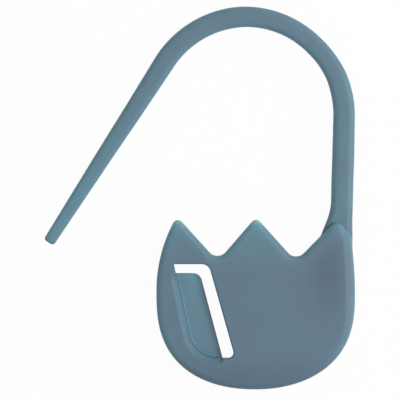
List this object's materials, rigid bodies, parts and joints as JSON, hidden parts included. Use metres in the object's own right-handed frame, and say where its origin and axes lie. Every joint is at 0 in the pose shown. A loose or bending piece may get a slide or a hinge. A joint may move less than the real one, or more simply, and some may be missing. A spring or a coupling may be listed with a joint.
{
  "type": "locking stitch marker",
  "caption": "Flat tulip-shaped stitch marker whose springy open arm curves round into a stitch loop and snaps through a slot in the left petal.",
  "frame": {"origin": "middle of the tulip, on its flat back face", "axes": "+X to the arm's root, +Y towards the petals and the bow, +Z out of the front face"},
  "size_m": [0.0248, 0.0306, 0.0025],
  "materials": {
    "tulip_plastic": "semi-gloss moulded, grey-blue",
    "petal_plastic": "semi-gloss moulded, grey-blue, a little lighter where thin",
    "tongue_plastic": "semi-gloss moulded, grey-blue, a little lighter where thin",
    "arm_plastic": "semi-gloss moulded, grey-blue"
  },
  "bodies": {
    "tulip": {"tulip_body": "tulip_plastic", "keeper_petal": "petal_plastic", "catch_tongue": "tongue_plastic", "arm_root": "arm_plastic"},
    "arm_stem_body": {"arm_stem": "arm_plastic"},
    "bow_right_body": {"bow_right": "arm_plastic"},
    "bow_crown_body": {"bow_crown": "arm_plastic"},
    "bow_left_body": {"bow_left": "arm_plastic"},
    "bow_shoulder_body": {"bow_shoulder": "arm_plastic"},
    "bow_end_body": {"bow_end": "arm_plastic"},
    "shank_upper_body": {"shank_upper": "arm_plastic"},
    "shank_lower_body": {"shank_lower": "arm_plastic", "arm_tip": "arm_plastic"}
  },
  "joints": [
    {"name": "root_flex", "type": "hinge", "parent": "tulip", "child": "arm_stem_body", "pos_m": [0.00691, 0.00813, 0.001], "axis": [0, 0, 1], "range_deg": [0, 6.32], "stiffness_Nm_per_rad": 0.0001},
    {"name": "stem_flex", "type": "hinge", "parent": "arm_stem_body", "child": "bow_right_body", "pos_m": [0.00711, 0.01488, 0.001], "axis": [0, 0, 1], "range_deg": [0, 8.97], "stiffness_Nm_per_rad": 0.0001},
    {"name": "arm_close", "type": "hinge", "parent": "bow_right_body", "child": "bow_crown_body", "pos_m": [0.00481, 0.02066, 0.001], "axis": [0, 0, 1], "range_deg": [0, 9.2], "stiffness_Nm_per_rad": 0.0001},
    {"name": "crown_flex", "type": "hinge", "parent": "bow_crown_body", "child": "bow_left_body", "pos_m": [-0.00074, 0.02296, 0.001], "axis": [0, 0, 1], "range_deg": [0, 9.07], "stiffness_Nm_per_rad": 0.0001},
    {"name": "arm_dip", "type": "hinge", "parent": "bow_left_body", "child": "bow_shoulder_body", "pos_m": [-0.00368, 0.02239, 0.001], "axis": [0.3746, -0.9272, 0], "range_deg": [0, 11.02], "stiffness_Nm_per_rad": 0.0001},
    {"name": "tip_rise", "type": "hinge", "parent": "bow_shoulder_body", "child": "bow_end_body", "pos_m": [-0.00557, 0.0213, 0.001], "axis": [-0.6157, 0.788, 0], "range_deg": [0, 11.4], "stiffness_Nm_per_rad": 0.0001},
    {"name": "finish_flex", "type": "hinge", "parent": "bow_end_body", "child": "shank_upper_body", "pos_m": [-0.00736, 0.01933, 0.001], "axis": [0, 0, 1], "range_deg": [0, 8.65], "stiffness_Nm_per_rad": 0.0001},
    {"name": "lower_flex", "type": "hinge", "parent": "shank_upper_body", "child": "shank_lower_body", "pos_m": [-0.01187, 0.01224, 0.001], "axis": [0, 0, 1], "range_deg": [0, 9.67], "stiffness_Nm_per_rad": 0.0001}
  ],
  "couplings": [
    {"joint": "root_flex", "follows": "arm_close", "ratio": 0.6837},
    {"joint": "stem_flex", "follows": "arm_close", "ratio": 0.97228},
    {"joint": "crown_flex", "follows": "arm_close", "ratio": 0.98293},
    {"joint": "arm_dip", "follows": "arm_close", "ratio": 1.1957},
    {"joint": "finish_flex", "follows": "arm_close", "ratio": 0.93696},
    {"joint": "lower_flex", "follows": "arm_close", "ratio": 1.0489}
  ]
}
